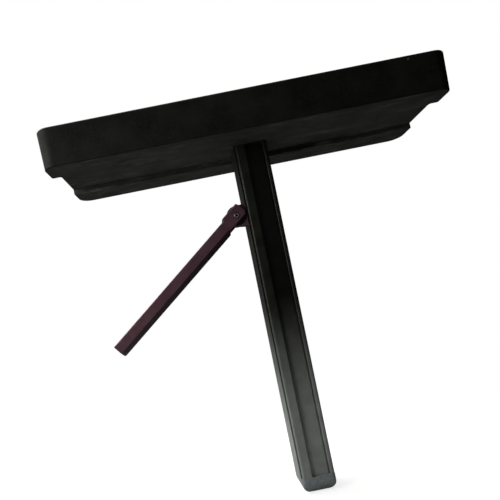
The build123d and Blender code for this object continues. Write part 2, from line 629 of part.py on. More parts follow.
def sensor_lead():
    """The sensor's lead, through the post's wall, up the post and over its end to the board."""
    over = UNDERSIDE + POST_TOP_IN + LEAD_OVER
    run_x = -POST_SIDE + LEAD_RUN_IN
    entry_x = CONNECTOR_X + CONNECTOR[0] / 2
    points = [
        (SENSOR_X + SENSOR[0] / 2, LEAD_Y, PIN_HEIGHT),
        (run_x, LEAD_Y, PIN_HEIGHT),
        (run_x, LEAD_Y, over),
        (run_x - LEAD_ACROSS, LEAD_Y, over),
        (entry_x + LEAD_STRAIGHT, LEAD_Y, LEAD_ENTRY_Z),
        (entry_x, LEAD_Y, LEAD_ENTRY_Z),
    ]
    path = FilletPolyline(*points, radius=[LEAD_FIRST_BEND] + [LEAD_BEND] * 3)
    section = Plane(origin=points[0], z_dir=(1, 0, 0)) * Circle(LEAD_R)
    return sweep(section, path=path)


def pivot_bush():
    y = (ARM_MID_Y - KNUCKLE_T / 2, KNUCKLE_BACK)
    tube = rod("y", BUSH_R, *y, PIN_X, PIN_HEIGHT)
    return tube - rod("y", PIN_R + RUNNING, y[0] - OVER, y[1] + OVER, PIN_X, PIN_HEIGHT)


def stop_pin():
    y = (ARM_MID_Y - KNUCKLE_T / 2 - STOP_REACH, KNUCKLE_BACK + STOP_REACH)
    pin = rod("y", STOP_PIN_R, *y, STOP_X, STOP_Z)
    return chamfer(pin.edges(), STOP_BEVEL)


# ---- Arm, in its own frame, then set at its stored angle ----
GAP_HALF = KNUCKLE_T / 2 + SIDE_PLAY + WASHER_T  # half the gap between the cheeks
HALF_DEPTH = ARM_DEPTH / 2
GAP_END = KNUCKLE_FOOT + GAP_ROOM
ROOT_TOP = GAP_END + ROOT_BLOCK
ROOT_LOW = ROOT_TOP + ROOT_SLANT
COUNTERBORE_R = PIN_HEAD_R + SEAT_ROOM
COUNTERBORE = 5.0
TANG_SCREWS_X = (ROOT_LOW + 8.0, ROOT_LOW + 36.0)
TANG_SCREW_R = 2.5
TANG_BITE = 12.0
SPRING_R = 11.0
SPRING_T = 1.0
NUT_FLATS = 17.0
NUT_HEIGHT = 9.0
EAR_SLOPE = 4.6  # ear's upper corner, cut back from its end
EAR_UPPER = 10.0  # where that cut starts, above the pin
EAR_LOWER = -4.0
EAR_TUCK = 5.1  # ear's lower corner, cut back from its end
EAR_CORNER_R = 3.0
SLOT_DEPTH = STOP_REACH
SLOT_R = STOP_PIN_R + SLIP
MAGNET_R = 3.0
MAGNET_T = 2.5


def bar_section(inset):
    """The arm bar's outline, brought in by inset, on the YZ plane."""
    half = HALF_DEPTH - inset
    top = BAR_TOP - inset
    low = BAR_BOTTOM + inset
    bevel = BAR_BEVEL - inset * (2 - sqrt(2))
    right = [(half, top), (half, low + bevel), (half - bevel, low)]
    left = [(-y, z) for y, z in reversed(right)]
    face = make_face(Polyline(*right, *left, close=True))
    return Plane.YZ * fillet(face.vertices().group_by(Axis.Y)[-1], max(BAR_TOP_R - inset, 0.4))


def mouth_wedge():
    """All that lies between the pin and the slanted joint where the bar meets the fork."""
    slope = ROOT_SLANT / (EAR_TOP - EAR_BOTTOM)
    high, low = EAR_TOP + OVER, BAR_BOTTOM - OVER
    corners = [
        (0, high),
        (ROOT_TOP - OVER * slope, high),
        (ROOT_TOP + (EAR_TOP - low) * slope, low),
        (0, low),
    ]
    return extrude(Plane.XZ * make_face(Polyline(*corners, close=True)), ARM_DEPTH, both=True)


def stop_slot(side):
    """The curved slot that the stop pin runs in: through one disc and into that cheek's face."""
    rest = 180 - STOP_ANGLE + ARM_DROP
    first, last = rest - SWING_UP, rest + SWING_DOWN
    low, high = sorted((side * (GAP_HALF - WASHER_T - OVER), side * (GAP_HALF + SLOT_DEPTH)))
    ring = rod("y", STOP_RADIUS + SLOT_R, low, high, 0, 0)
    ring -= rod("y", STOP_RADIUS - SLOT_R, low - OVER, high + OVER, 0, 0)
    reach = 3 * STOP_RADIUS
    steps = [first, (first + last) / 2, last]
    fan = [(0, 0)] + [(reach * cos(radians(a)), reach * sin(radians(a))) for a in steps]
    wedge = extrude(Plane.XZ * make_face(Polyline(*fan, close=True)), 2 * ARM_DEPTH, both=True)
    slot = ring & wedge
    for angle in (first, last):
        x, z = STOP_RADIUS * cos(radians(angle)), STOP_RADIUS * sin(radians(angle))
        slot += rod("y", SLOT_R, low, high, x, z)
    return slot


def arm_fork():
    corners = [
        (ROOT_TOP, EAR_TOP),
        (-EAR_END + EAR_SLOPE, EAR_TOP),
        (-EAR_END, EAR_UPPER),
        (-EAR_END, EAR_LOWER),
        (-EAR_END + EAR_TUCK, EAR_BOTTOM),
        (ROOT_LOW, EAR_BOTTOM),
    ]
    outline = make_face(Polyline(*corners, close=True))
    ears = [v for v in outline.vertices() if v.X < 0]
    outline = fillet(ears, EAR_CORNER_R)
    fork = extrude(Plane.XZ * outline, HALF_DEPTH, both=True)
    low_edges = [e for e in fork.edges().filter_by(Axis.X) if e.center().Z < 0]
    fork = chamfer(low_edges, EAR_BEVEL)
    tang = Pos(ROOT_TOP, 0, 0) * extrude(bar_section(BAR_WALL + SNUG), TANG_LENGTH)
    fork += tang - mouth_wedge()
    gap_z = (EAR_BOTTOM - OVER, EAR_TOP + OVER)
    fork -= box((-EAR_END - OVER, GAP_END), (-GAP_HALF, GAP_HALF), gap_z)
    fork -= rod("y", PIN_R, -ARM_DEPTH, ARM_DEPTH, 0, 0)
    fork -= rod("y", COUNTERBORE_R, HALF_DEPTH - COUNTERBORE, HALF_DEPTH + OVER, 0, 0)
    fork -= stop_slot(1) + stop_slot(-1)
    fork -= rod("y", MAGNET_R, -GAP_HALF - MAGNET_T, -GAP_HALF + OVER, -STOP_RADIUS, 0)
    bite = (-HALF_DEPTH, -HALF_DEPTH + BAR_WALL + TANG_BITE + SCREW_ROOM)
    for x in TANG_SCREWS_X:
        fork -= rod("y", TANG_SCREW_R, *bite, x, 0)
    return to_arm * fork


def arm_bar():
    """The hollow bar, its mouth cut on the same slant as the fork's shoulder."""
    length = ARM_REACH - CAP_THICK - ROOT_TOP
    bar = extrude(bar_section(0), length) - extrude(bar_section(BAR_WALL), length)
    bar = Pos(ROOT_TOP, 0, 0) * bar - mouth_wedge()
    for x in TANG_SCREWS_X:
        drill = (-HALF_DEPTH - OVER, -HALF_DEPTH + BAR_WALL + OVER)
        bar -= rod("y", TANG_SCREW_R + SLIP, *drill, x, 0)
    return to_arm * bar


def arm_end_cap():
    cap = extrude(bar_section(0), CAP_THICK)
    cap = fillet(cap.faces().sort_by(Axis.X)[-1].edges(), CAP_EDGE_R)
    cap += Pos(-CAP_SPIGOT, 0, 0) * extrude(bar_section(BAR_WALL + SNUG), CAP_SPIGOT + OVER)
    hollow = extrude(bar_section(BAR_WALL + SNUG + CAP_WALL), CAP_SPIGOT)
    cap -= Pos(-CAP_SPIGOT - OVER, 0, 0) * hollow
    return to_arm * Pos(ARM_REACH - CAP_THICK, 0, 0) * cap


def fork_screws():
    one = Rot(90, 0, 0) * screw(TANG_SCREW_R, BAR_WALL + TANG_BITE, *PAN_HEAD)
    return group([to_arm * Pos(x, -HALF_DEPTH, 0) * one for x in TANG_SCREWS_X])


def pivot_pin():
    """A shoulder screw: socket head in the front cheek, shoulder through both, thread behind."""
    seat = HALF_DEPTH - COUNTERBORE
    pin = rod("y", PIN_HEAD_R, seat, seat + PIN_HEAD, 0, 0)
    pin = fillet(pin.edges().group_by(Axis.Y)[-1], PIN_HEAD_EDGE_R)
    pin += rod("y", PIN_R, -HALF_DEPTH, seat + OVER, 0, 0)
    pin += rod("y", THREAD_R, -HALF_DEPTH - PIN_TAIL, -HALF_DEPTH + OVER, 0, 0)
    socket = Pos(0, seat + PIN_HEAD + OVER, 0) * Rot(90, 0, 0)
    socket *= hexagon(PIN_SOCKET, PIN_SOCKET_DEPTH + OVER)
    return to_arm * (pin - socket)


def spring_washer():
    ring = rod("y", SPRING_R, -HALF_DEPTH - SPRING_T, -HALF_DEPTH, 0, 0)
    return to_arm * (ring - rod("y", THREAD_R + SNUG, -ARM_DEPTH, ARM_DEPTH, 0, 0))


def pivot_nut():
    nut = Pos(0, -HALF_DEPTH - SPRING_T, 0) * Rot(90, 0, 0) * hexagon(NUT_FLATS, NUT_HEIGHT)
    return to_arm * (nut - rod("y", THREAD_R, -ARM_DEPTH, ARM_DEPTH, 0, 0))


def friction_washers():
    rings = []
    for side in (-1, 1):
        low, high = sorted((side * (GAP_HALF - WASHER_T), side * GAP_HALF))
        ring = rod("y", WASHER_R, low, high, 0, 0) - stop_slot(side)
        rings.append(to_arm * (ring - rod("y", PIN_R + SNUG, low - OVER, high + OVER, 0, 0)))
    return group(rings)


def angle_magnet():
    return to_arm * rod("y", MAGNET_R, -GAP_HALF - MAGNET_T, -GAP_HALF, -STOP_RADIUS, 0)


NODES = (
    head_cover,
    cover_screws,
    head_tray,
    rear_rail,
    rail_screws,
    head_flange,
    flange_screws,
    collar_screws,
    counter_board,
    board_standoffs,
    board_screws,
    battery_pack,
    battery_strap,
    strap_screws,
    post,
    channel_strip,
    foot_plug,
    foot_screws,
    hinge_bracket,
    bracket_plate,
    bracket_screws,
    hall_sensor,
    sensor_lead,
    pivot_bush,
    stop_pin,
    arm_fork,
    arm_bar,
    arm_end_cap,
    fork_screws,
    pivot_pin,
    spring_washer,
    pivot_nut,
    friction_washers,
    angle_magnet,
)

for make in NODES:
    export_step(make(), f"parts/{make.__name__}.step")
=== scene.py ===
import json
import math

import bpy
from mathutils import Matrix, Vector


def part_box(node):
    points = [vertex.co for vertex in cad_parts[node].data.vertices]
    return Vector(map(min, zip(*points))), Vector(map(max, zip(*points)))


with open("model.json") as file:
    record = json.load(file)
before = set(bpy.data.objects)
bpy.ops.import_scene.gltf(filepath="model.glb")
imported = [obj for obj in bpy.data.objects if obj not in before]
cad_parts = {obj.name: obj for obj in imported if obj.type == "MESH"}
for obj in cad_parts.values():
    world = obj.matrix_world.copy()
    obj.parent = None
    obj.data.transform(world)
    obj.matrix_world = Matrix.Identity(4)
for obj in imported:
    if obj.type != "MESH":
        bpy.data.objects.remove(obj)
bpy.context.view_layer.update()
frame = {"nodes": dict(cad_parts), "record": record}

# Where things are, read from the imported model. Metres throughout.
MM = 0.001
CAP_LOW, CAP_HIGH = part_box("arm_end_cap")
PIVOT = Vector(frame["record"]["behaviour"]["joints"][0]["pos_m"])
ARM_END = (Vector(CAP_LOW) + Vector(CAP_HIGH)) / 2
ARM_SLOPE = math.atan2(PIVOT.z - ARM_END.z, PIVOT.x - ARM_END.x)

# Floor dust on the post, with painted light from the floor's bounce, paler towards the foot: the
# height where it starts, the height where it has become thickest, and the share of the colour that
# it hides from there down.
DUST_AND_BOUNCE_TOP = 0.515
DUST_AND_BOUNCE_FULL = 0.14
DUST_AND_BOUNCE_COVER = 0.68

# What wear and dirt look like on each finish, with painted light among them: the floor film is
# partly painted bounce light, the arm's and the socket's dark colours are painted shade, and the
# pink line is a painted highlight.
FLOOR_DUST_AND_BOUNCE = "#b7bcb7"
DUST_SPECK = "#9a9a92"
WORN_COAT = "#363732"
ARM_PAINTED_SHADE = "#161013"
PAINTED_HIGHLIGHT_PINK = "#b98a9b"
SOCKET_PAINTED_SHADE = "#0c0a0b"

# The shader values that stay the same over a whole surface.
ABS = {"Metallic": 0.0, "IOR": 1.54, "Specular IOR Level": 0.18}
COATED = {"Metallic": 0.0, "IOR": 1.5, "Specular IOR Level": 0.28}
PLASTIC = {"Metallic": 0.0, "IOR": 1.5, "Specular IOR Level": 0.45}
DYED = {"Metallic": 0.4}  # the oxide and its dye hide much of the metal
METAL = {"Metallic": 1.0}

# A Mix node's sockets for colours share their names with others, so they go by number.
SHARE, UNDER, OVER, BLENDED = 0, 6, 7, 2
BEVEL_RAYS = 6

CAMERA_PLACE = (-0.2063, -1.3011, 0.4665)
CAMERA_TURN = (91.825, 11.349, 0.074)  # degrees: it tilts up, rolls to the right and faces +Y
CAMERA_SHIFT = (0.0946, 0.118)
LENS = 36.0  # millimetres, on a sensor as wide as that

# Name, place, the point it faces, width and height, and watts.
LIGHTS = (
    ("left_key", (-1.5, -0.75, 1.0), (-0.1, 0.0, 0.5), (0.7, 0.9), 13.0),
    ("left_window", (-1.9, 0.7, 0.9), (0.0, 0.0, 0.5), (1.4, 1.4), 5.0),
    ("floor_light", (-0.8, 0.5, 2.6), (0.0, 0.0, 0.0), (2.4, 2.4), 74.0),
    ("front_card", (0.15, -2.05, 1.13), (-0.07, -0.05, 0.72), (0.3, 0.3), 0.12),
)
WHITE = "#ffffff"
PAPER = "#b4b4b2"
ROOM_DIM, ROOM_BRIGHT = 0.008, 0.09  # how strongly the room lights from the right and the left
FLOOR_GLOW = 0.8
FLOOR_RADIUS = 2.4
FADE_START, FADE_END = 0.35, 1.5  # the floor thins out between these distances from the post


# ---- Small tools ----
def linear(code):
    """An sRGB hex colour, such as "#1c1d1a", as linear RGBA."""
    parts = [int(code[i : i + 2], 16) / 255 for i in (1, 3, 5)]
    return [c / 12.92 if c <= 0.04045 else ((c + 0.055) / 1.055) ** 2.4 for c in parts] + [1.0]


def cell(size_mm):
    """The scale that makes one cell of a pattern that many millimetres across."""
    return 1000.0 / size_mm


def add(tree, kind, settings=None, links=None):
    """Adds a node. Settings are its properties, ramp stops or fixed inputs, with colours as hex
    codes; links are the sockets to join to its inputs."""
    node = tree.nodes.new(kind)
    for name, value in (settings or {}).items():
        if name == "stops":
            for _ in value[2:]:  # a new ramp has two stops already
                node.color_ramp.elements.new(0.5)
            for stop, (place, shade) in zip(node.color_ramp.elements, value):
                stop.position = place
                stop.color = linear(shade) if isinstance(shade, str) else [shade] * 3 + [1.0]
        elif isinstance(name, str) and hasattr(node, name):
            setattr(node, name, value)
        else:
            node.inputs[name].default_value = linear(value) if isinstance(value, str) else value
    for name, socket in (links or {}).items():
        tree.links.new(socket, node.inputs[name])
    return node


def new_material(name):
    """A material with an empty node tree, and the object's own coordinates in it."""
    material = bpy.data.materials.new(name)
    material.use_nodes = True
    tree = material.node_tree
    tree.nodes.clear()
    place = add(tree, "ShaderNodeTexCoord").outputs["Object"]
    return material, tree, place


def finish_material(tree, colour, gloss, relief, edge_mm, plain):
    """Joins colour, roughness and relief to one shader. Gloss is a pattern, the roughness, and how
    far that strays with the pattern. Relief is a pattern and its depth in millimetres. Plain holds
    the shader's constant values."""
    pattern, rough, spread = gloss
    height, depth_mm = relief
    roughness = add(
        tree,
        "ShaderNodeMapRange",
        {"From Min": 0.3, "From Max": 0.7, "To Min": rough - spread, "To Max": rough + spread},
        {"Value": pattern},
    ).outputs["Result"]
    soft_edge = add(
        tree, "ShaderNodeBevel", {"samples": BEVEL_RAYS, "Radius": edge_mm * MM}
    ).outputs["Normal"]
    bumped = add(
        tree,
        "ShaderNodeBump",
        {"Strength": 1.0, "Distance": depth_mm * MM},
        {"Height": height, "Normal": soft_edge},
    ).outputs["Normal"]
    shader = add(
        tree,
        "ShaderNodeBsdfPrincipled",
        plain,
        {"Base Color": colour, "Roughness": roughness, "Normal": bumped},
    ).outputs["BSDF"]
    add(tree, "ShaderNodeOutputMaterial", None, {"Surface": shader})


def edge_wear(tree, width_mm):
    """1 on edges and corners within that width, 0 on the flats."""
    rounded = add(
        tree, "ShaderNodeBevel", {"samples": BEVEL_RAYS, "Radius": width_mm * MM}
    ).outputs["Normal"]
    facing = add(tree, "ShaderNodeNewGeometry").outputs["Normal"]
    match = add(
        tree, "ShaderNodeVectorMath", {"operation": "DOT_PRODUCT"}, {0: rounded, 1: facing}
    ).outputs["Value"]
    return add(
        tree, "ShaderNodeMapRange", {"From Min": 0.99, "From Max": 0.8}, {"Value": match}
    ).outputs["Result"]


def dust_specks(tree, place):
    """How much soft dust specks cover: they are up to 4 mm across, and one shows wherever the
    middle of a 70 mm cell meets the surface."""
    middle = add(
        tree, "ShaderNodeTexVoronoi", {"Scale": cell(70)}, {"Vector": place}
    ).outputs["Distance"]
    return add(
        tree,
        "ShaderNodeMapRange",
        {"From Min": 0.03, "From Max": 0.015, "To Min": 0.0, "To Max": 0.8},
        {"Value": middle},
    ).outputs["Result"]


def floor_dust_and_bounce(tree, place, cloud):
    """How much a pale film covers, floor dust with painted light from the floor's bounce: nothing
    above the height where it starts, and most from the height where it is thickest down, a little
    less where the cloud pattern is low."""
    height = add(tree, "ShaderNodeSeparateXYZ", None, {"Vector": place}).outputs["Z"]
    fall = {"From Min": DUST_AND_BOUNCE_TOP, "From Max": DUST_AND_BOUNCE_FULL, "To Min": 0.0, "To Max": DUST_AND_BOUNCE_COVER}
    dust_and_bounce = add(
        tree,
        "ShaderNodeMapRange",
        {"interpolation_type": "SMOOTHSTEP", **fall},
        {"Value": height},
    ).outputs["Result"]
    patchy = add(
        tree,
        "ShaderNodeMapRange",
        {"From Min": 0.3, "From Max": 0.7, "To Min": 0.75, "To Max": 1.0},
        {"Value": cloud},
    ).outputs["Result"]
    return add(
        tree, "ShaderNodeMath", {"operation": "MULTIPLY"}, {0: dust_and_bounce, 1: patchy}
    ).outputs["Value"]


def arm_facing(tree):
    """Which way a face of the arm looks: across the arm, from 0 (down) through 0.5 to 1 (up); and
    to the front, 0 (no) or 1 (yes)."""
    normal = add(tree, "ShaderNodeTexCoord").outputs["Normal"]
    across = (-math.sin(ARM_SLOPE), 0.0, math.cos(ARM_SLOPE))
    lift = add(
        tree, "ShaderNodeVectorMath", {"operation": "DOT_PRODUCT", 1: across}, {0: normal}
    ).outputs["Value"]
    upward = add(
        tree, "ShaderNodeMapRange", {"From Min": -1.0}, {"Value": lift}
    ).outputs["Result"]
    depth = add(tree, "ShaderNodeSeparateXYZ", None, {"Vector": normal}).outputs["Y"]
    frontward = add(
        tree, "ShaderNodeMapRange", {"From Min": -0.2, "From Max": -0.5}, {"Value": depth}
    ).outputs["Result"]
    return upward, frontward


# ---- Materials ----
def moulded_abs(name, dark, pale, worn, streak, rough):
    """Injection-moulded ABS with a fine spark-eroded grain: a dull, slightly mottled surface with
    faint pale speckle painted on its grain as glints of light, with rubbed, paler edges and a few
    dust specks."""
    material, tree, place = new_material(name)
    # Uneven tone from the mould, in clouds about 60 mm across.
    cloud = add(
        tree, "ShaderNodeTexNoise", {"Scale": cell(62), "Detail": 3.0}, {"Vector": place}
    ).outputs["Fac"]
    base = add(
        tree, "ShaderNodeValToRGB", {"stops": [(0.3, dark), (0.72, pale)]}, {"Fac": cloud}
    ).outputs["Color"]
    # The real grain is a few tenths of a millimetre; it is drawn at 4 mm so that it shows.
    grain = add(
        tree, "ShaderNodeTexNoise", {"Scale": cell(4.2), "Detail": 3.0}, {"Vector": place}
    ).outputs["Fac"]
    # A painted glint: pale speckle on the grain stands in for the light that the grain catches.
    painted_glints = add(
        tree, "ShaderNodeValToRGB", {"stops": [(0.52, 0.0), (0.7, 0.85)]}, {"Fac": grain}
    ).outputs["Color"]
    base = add(
        tree, "ShaderNodeMix", {"data_type": "RGBA", OVER: pale}, {SHARE: painted_glints, UNDER: base}
    ).outputs[BLENDED]
    # Wiping leaves marks 9 mm wide and some 75 mm long, along the head.
    along = add(
        tree, "ShaderNodeMapping", {"Scale": (0.12, 1.0, 1.0)}, {"Vector": place}
    ).outputs["Vector"]
    wipe = add(
        tree,
        "ShaderNodeTexNoise",
        {"Scale": cell(9), "Detail": 4.0, "Roughness": 0.6},
        {"Vector": along},
    ).outputs["Fac"]
    streaks = add(
        tree, "ShaderNodeValToRGB", {"stops": [(0.52, 0.0), (0.78, streak)]}, {"Fac": wipe}
    ).outputs["Color"]
    base = add(
        tree, "ShaderNodeMix", {"data_type": "RGBA", OVER: worn}, {SHARE: streaks, UNDER: base}
    ).outputs[BLENDED]
    wear_and_highlight = add(
        tree, "ShaderNodeMath", {"operation": "MULTIPLY"}, {0: edge_wear(tree, 2.2), 1: wipe}
    ).outputs["Value"]
    base = add(
        tree, "ShaderNodeMix", {"data_type": "RGBA", OVER: worn}, {SHARE: wear_and_highlight, UNDER: base}
    ).outputs[BLENDED]
    specks = dust_specks(tree, place)
    base = add(
        tree, "ShaderNodeMix", {"data_type": "RGBA", OVER: DUST_SPECK}, {SHARE: specks, UNDER: base}
    ).outputs[BLENDED]
    finish_material(tree, base, (wipe, rough, 0.09), (grain, 0.4), 1.2, ABS)
    return material


def coated_extrusion(name, dark, pale, rough):
    """A satin black extrusion: die lines along the post, and a pale film that thickens towards the
    foot, floor dust with painted light from the floor's bounce."""
    material, tree, place = new_material(name)
    # Tone wanders in clouds about 40 mm across.
    cloud = add(
        tree, "ShaderNodeTexNoise", {"Scale": cell(38), "Detail": 4.0}, {"Vector": place}
    ).outputs["Fac"]
    base = add(
        tree, "ShaderNodeValToRGB", {"stops": [(0.3, dark), (0.7, pale)]}, {"Fac": cloud}
    ).outputs["Color"]
    # Die lines are 0.3 mm apart on a real extrusion; they are drawn at 2.6 mm so that they show.
    drawn = add(
        tree, "ShaderNodeMapping", {"Scale": (1.0, 1.0, 0.02)}, {"Vector": place}
    ).outputs["Vector"]
    lines = add(
        tree, "ShaderNodeTexNoise", {"Scale": cell(2.6), "Detail": 2.0}, {"Vector": drawn}
    ).outputs["Fac"]
    marks = add(
        tree, "ShaderNodeValToRGB", {"stops": [(0.45, 0.0), (0.8, 0.45)]}, {"Fac": lines}
    ).outputs["Color"]
    base = add(
        tree, "ShaderNodeMix", {"data_type": "RGBA", OVER: pale}, {SHARE: marks, UNDER: base}
    ).outputs[BLENDED]
    worn = add(
        tree, "ShaderNodeMath", {"operation": "MULTIPLY"}, {0: edge_wear(tree, 1.6), 1: cloud}
    ).outputs["Value"]
    base = add(
        tree, "ShaderNodeMix", {"data_type": "RGBA", OVER: WORN_COAT}, {SHARE: worn, UNDER: base}
    ).outputs[BLENDED]
    # Floor dust, with painted light from the floor's bounce, paler towards the foot.
    dust_and_bounce = floor_dust_and_bounce(tree, place, cloud)
    base = add(
        tree, "ShaderNodeMix", {"data_type": "RGBA", OVER: FLOOR_DUST_AND_BOUNCE}, {SHARE: dust_and_bounce, UNDER: base}
    ).outputs[BLENDED]
    # Orange peel in the surface, about 2 mm across.
    peel = add(
        tree, "ShaderNodeTexNoise", {"Scale": cell(2.2), "Detail": 1.0}, {"Vector": place}
    ).outputs["Fac"]
    finish_material(tree, base, (lines, rough, 0.08), (peel, 0.06), 0.8, COATED)
    return material


def anodised_plum(name, deep, bright, rough):
    """Aluminium, brushed along its length, dyed plum and sealed satin: painted shade darkens the
    faces that look up or down, and a painted highlight lays a lighter pink line along the upper
    front edge."""
    material, tree, place = new_material(name)
    # The dye takes unevenly, in patches about 40 mm across.
    dye = add(
        tree, "ShaderNodeTexNoise", {"Scale": cell(40), "Detail": 2.0}, {"Vector": place}
    ).outputs["Fac"]
    base = add(
        tree, "ShaderNodeValToRGB", {"stops": [(0.25, deep), (0.8, bright)]}, {"Fac": dye}
    ).outputs["Color"]
    # Brush lines are 0.1 mm apart; they are drawn at 5 mm so that they show.
    turned = add(
        tree, "ShaderNodeMapping", {"Rotation": (0.0, ARM_SLOPE, 0.0)}, {"Vector": place}
    ).outputs["Vector"]
    stretched = add(
        tree, "ShaderNodeMapping", {"Scale": (0.03, 1.0, 1.0)}, {"Vector": turned}
    ).outputs["Vector"]
    brush = add(
        tree, "ShaderNodeTexNoise", {"Scale": cell(5.0), "Detail": 2.0}, {"Vector": stretched}
    ).outputs["Fac"]
    lines = add(
        tree, "ShaderNodeValToRGB", {"stops": [(0.45, 0.0), (0.8, 0.3)]}, {"Fac": brush}
    ).outputs["Color"]
    base = add(
        tree, "ShaderNodeMix", {"data_type": "RGBA", OVER: bright}, {SHARE: lines, UNDER: base}
    ).outputs[BLENDED]
    # Painted shade darkens what looks down or up, and spares the front.
    upward, frontward = arm_facing(tree)
    painted_shade = add(
        tree,
        "ShaderNodeValToRGB",
        {"stops": [(0.15, 0.85), (0.42, 0.0), (0.62, 0.0), (0.78, 0.85)]},
        {"Fac": upward},
    ).outputs["Color"]
    base = add(
        tree, "ShaderNodeMix", {"data_type": "RGBA", OVER: ARM_PAINTED_SHADE}, {SHARE: painted_shade, UNDER: base}
    ).outputs[BLENDED]
    # A painted highlight, a lighter pink line, lies over the painted shade, along the rounded edge
    # between top and front.
    top_edge = add(
        tree,
        "ShaderNodeValToRGB",
        {"stops": [(0.58, 0.0), (0.68, 0.75), (0.9, 0.75), (0.95, 0.0)]},
        {"Fac": upward},
    ).outputs["Color"]
    wear_and_highlight = add(
        tree, "ShaderNodeMath", {"operation": "MULTIPLY"}, {0: top_edge, 1: frontward}
    ).outputs["Value"]
    base = add(
        tree, "ShaderNodeMix", {"data_type": "RGBA", OVER: PAINTED_HIGHLIGHT_PINK}, {SHARE: wear_and_highlight, UNDER: base}
    ).outputs[BLENDED]
    finish_material(tree, base, (brush, rough, 0.07), (brush, 0.02), 0.5, DYED)
    return material


def speckled(name, dark, pale, plain, cell_mm, rough, depth_mm, core_mm=0.0):
    """The common base of the small parts: two tones in cells of a real size, rubbed edges, and a
    roughness that follows the cells. Painted shade darkens what lies within core_mm of the pivot's
    axis, over the pin's socket."""
    material, tree, place = new_material(name)
    tone = add(
        tree, "ShaderNodeTexNoise", {"Scale": cell(cell_mm), "Detail": 4.0}, {"Vector": place}
    ).outputs["Fac"]
    base = add(
        tree, "ShaderNodeValToRGB", {"stops": [(0.32, dark), (0.7, pale)]}, {"Fac": tone}
    ).outputs["Color"]
    worn = edge_wear(tree, 0.6)
    base = add(
        tree, "ShaderNodeMix", {"data_type": "RGBA", OVER: pale}, {SHARE: worn, UNDER: base}
    ).outputs[BLENDED]
    # Painted shade: the middle of the pin, over its socket, is painted dark.
    if core_mm:
        to_axis = {1: (1.0, 0.0, 1.0), 2: (-PIVOT.x, 0.0, -PIVOT.z)}
        offset = add(
            tree, "ShaderNodeVectorMath", {"operation": "MULTIPLY_ADD", **to_axis}, {0: place}
        ).outputs["Vector"]
        reach = add(
            tree, "ShaderNodeVectorMath", {"operation": "LENGTH"}, {0: offset}
        ).outputs["Value"]
        core = add(
            tree,
            "ShaderNodeMapRange",
            {"From Min": (core_mm + 0.3) * MM, "From Max": core_mm * MM},
            {"Value": reach},
        ).outputs["Result"]
        base = add(
            tree,
            "ShaderNodeMix",
            {"data_type": "RGBA", OVER: SOCKET_PAINTED_SHADE},
            {SHARE: core, UNDER: base},
        ).outputs[BLENDED]
    finish_material(tree, base, (tone, rough, 0.08), (tone, depth_mm), 0.4, plain)
    return material


